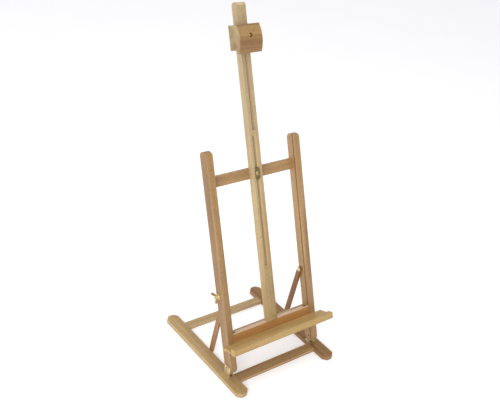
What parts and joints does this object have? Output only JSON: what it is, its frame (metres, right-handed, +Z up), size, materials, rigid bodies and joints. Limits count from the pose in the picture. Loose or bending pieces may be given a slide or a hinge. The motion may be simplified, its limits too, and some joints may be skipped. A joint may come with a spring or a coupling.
{
  "type": "tabletop easel",
  "caption": "Tabletop H-frame easel: flat wooden base, leaning slotted frame with folding stays, and a sliding mast with a canvas tray and a sliding top clamp.",
  "frame": {"origin": "middle of the front crossbar's underside, on the table", "axes": "+Z up, -Y towards the painter (front), +X to the painter's right as they face the easel"},
  "size_m": [0.342, 0.4188, 0.924],
  "materials": {
    "base_wood": "satin oiled beech",
    "frame_wood": "satin oiled beech",
    "stay_wood": "satin oiled beech",
    "mast_wood": "pale satin beech",
    "tray_wood": "golden satin beech",
    "back_board_wood": "satin beech",
    "clamp_wood": "satin beech",
    "dowel_wood": "plain beech",
    "brass_fittings": "brass-plated",
    "brass_nuts": "brass-plated",
    "dark_brass": "dull brass"
  },
  "bodies": {
    "base": {"left_runner": "base_wood", "right_runner": "base_wood", "front_crossbar": "base_wood", "rear_crossbar": "base_wood", "base_dowels": "dowel_wood", "left_hinge_bracket": "brass_fittings", "right_hinge_bracket": "brass_fittings", "bracket_screws": "brass_fittings", "left_stay_pivot_screw": "brass_fittings", "right_stay_pivot_screw": "brass_fittings"},
    "frame": {"left_post": "frame_wood", "right_post": "frame_wood", "upper_rail": "frame_wood", "lower_rail": "frame_wood", "rail_dowels": "dowel_wood", "left_frame_pivot_screw": "brass_fittings", "right_frame_pivot_screw": "brass_fittings", "left_stay_stud": "brass_fittings", "right_stay_stud": "brass_fittings", "left_stay_washer": "brass_fittings", "right_stay_washer": "brass_fittings", "mast_lock_plate": "dark_brass", "mast_lock_bolt": "brass_fittings", "mast_lock_washer": "brass_fittings"},
    "carriage": {"mast": "mast_wood", "tray_back_board": "back_board_wood", "tray_board": "tray_wood", "tray_lip": "tray_wood"},
    "clamp": {"canvas_clamp": "clamp_wood", "clamp_bolt": "brass_fittings", "clamp_washer": "brass_fittings"},
    "left_stay": {"left_stay": "stay_wood", "left_stay_bolt": "brass_fittings"},
    "right_stay": {"right_stay": "stay_wood", "right_stay_bolt": "brass_fittings"},
    "left_nut": {"left_stay_wing_nut": "brass_nuts"},
    "right_nut": {"right_stay_wing_nut": "brass_nuts"},
    "mast_nut": {"mast_lock_wing_nut": "brass_nuts"},
    "clamp_nut": {"clamp_wing_nut": "brass_nuts"}
  },
  "joints": [
    {"name": "frame_tilt", "type": "hinge", "parent": "base", "child": "frame", "pos_m": [0, 0.0175, 0.038], "axis": [-1, 0, 0], "range_deg": [0, 67]},
    {"name": "left_stay_fold", "type": "hinge", "parent": "base", "child": "left_stay", "pos_m": [0, 0.126, 0.0065], "axis": [-1, 0, 0], "range_deg": [0, 91]},
    {"name": "right_stay_fold", "type": "hinge", "parent": "base", "child": "right_stay", "pos_m": [0, 0.126, 0.0065], "axis": [-1, 0, 0], "range_deg": [0, 91]},
    {"name": "mast_slide", "type": "slide", "parent": "frame", "child": "carriage", "axis": [0, 0.3584, 0.9336], "range_m": [-0.06, 0.24]},
    {"name": "clamp_slide", "type": "slide", "parent": "carriage", "child": "clamp", "axis": [0, 0.3584, 0.9336], "range_m": [-0.235, 0.005]},
    {"name": "left_wing_nut_turn", "type": "hinge", "parent": "frame", "child": "left_nut", "pos_m": [-0.16, 0.09711, 0.22167], "axis": [-1, 0, 0], "continuous": true},
    {"name": "right_wing_nut_turn", "type": "hinge", "parent": "frame", "child": "right_nut", "pos_m": [0.16, 0.09711, 0.22167], "axis": [1, 0, 0], "continuous": true},
    {"name": "mast_wing_nut_turn", "type": "hinge", "parent": "frame", "child": "mast_nut", "pos_m": [0, 0.21715, 0.50229], "axis": [0, 0.9336, -0.3584], "continuous": true},
    {"name": "clamp_wing_nut_turn", "type": "hinge", "parent": "clamp", "child": "clamp_nut", "pos_m": [0, 0.33575, 0.83916], "axis": [0, 0.9336, -0.3584], "continuous": true}
  ],
  "couplings": [
    {"joint": "left_stay_fold", "follows": "frame_tilt", "ratio": 1.35},
    {"joint": "right_stay_fold", "follows": "frame_tilt", "ratio": 1.35}
  ]
}
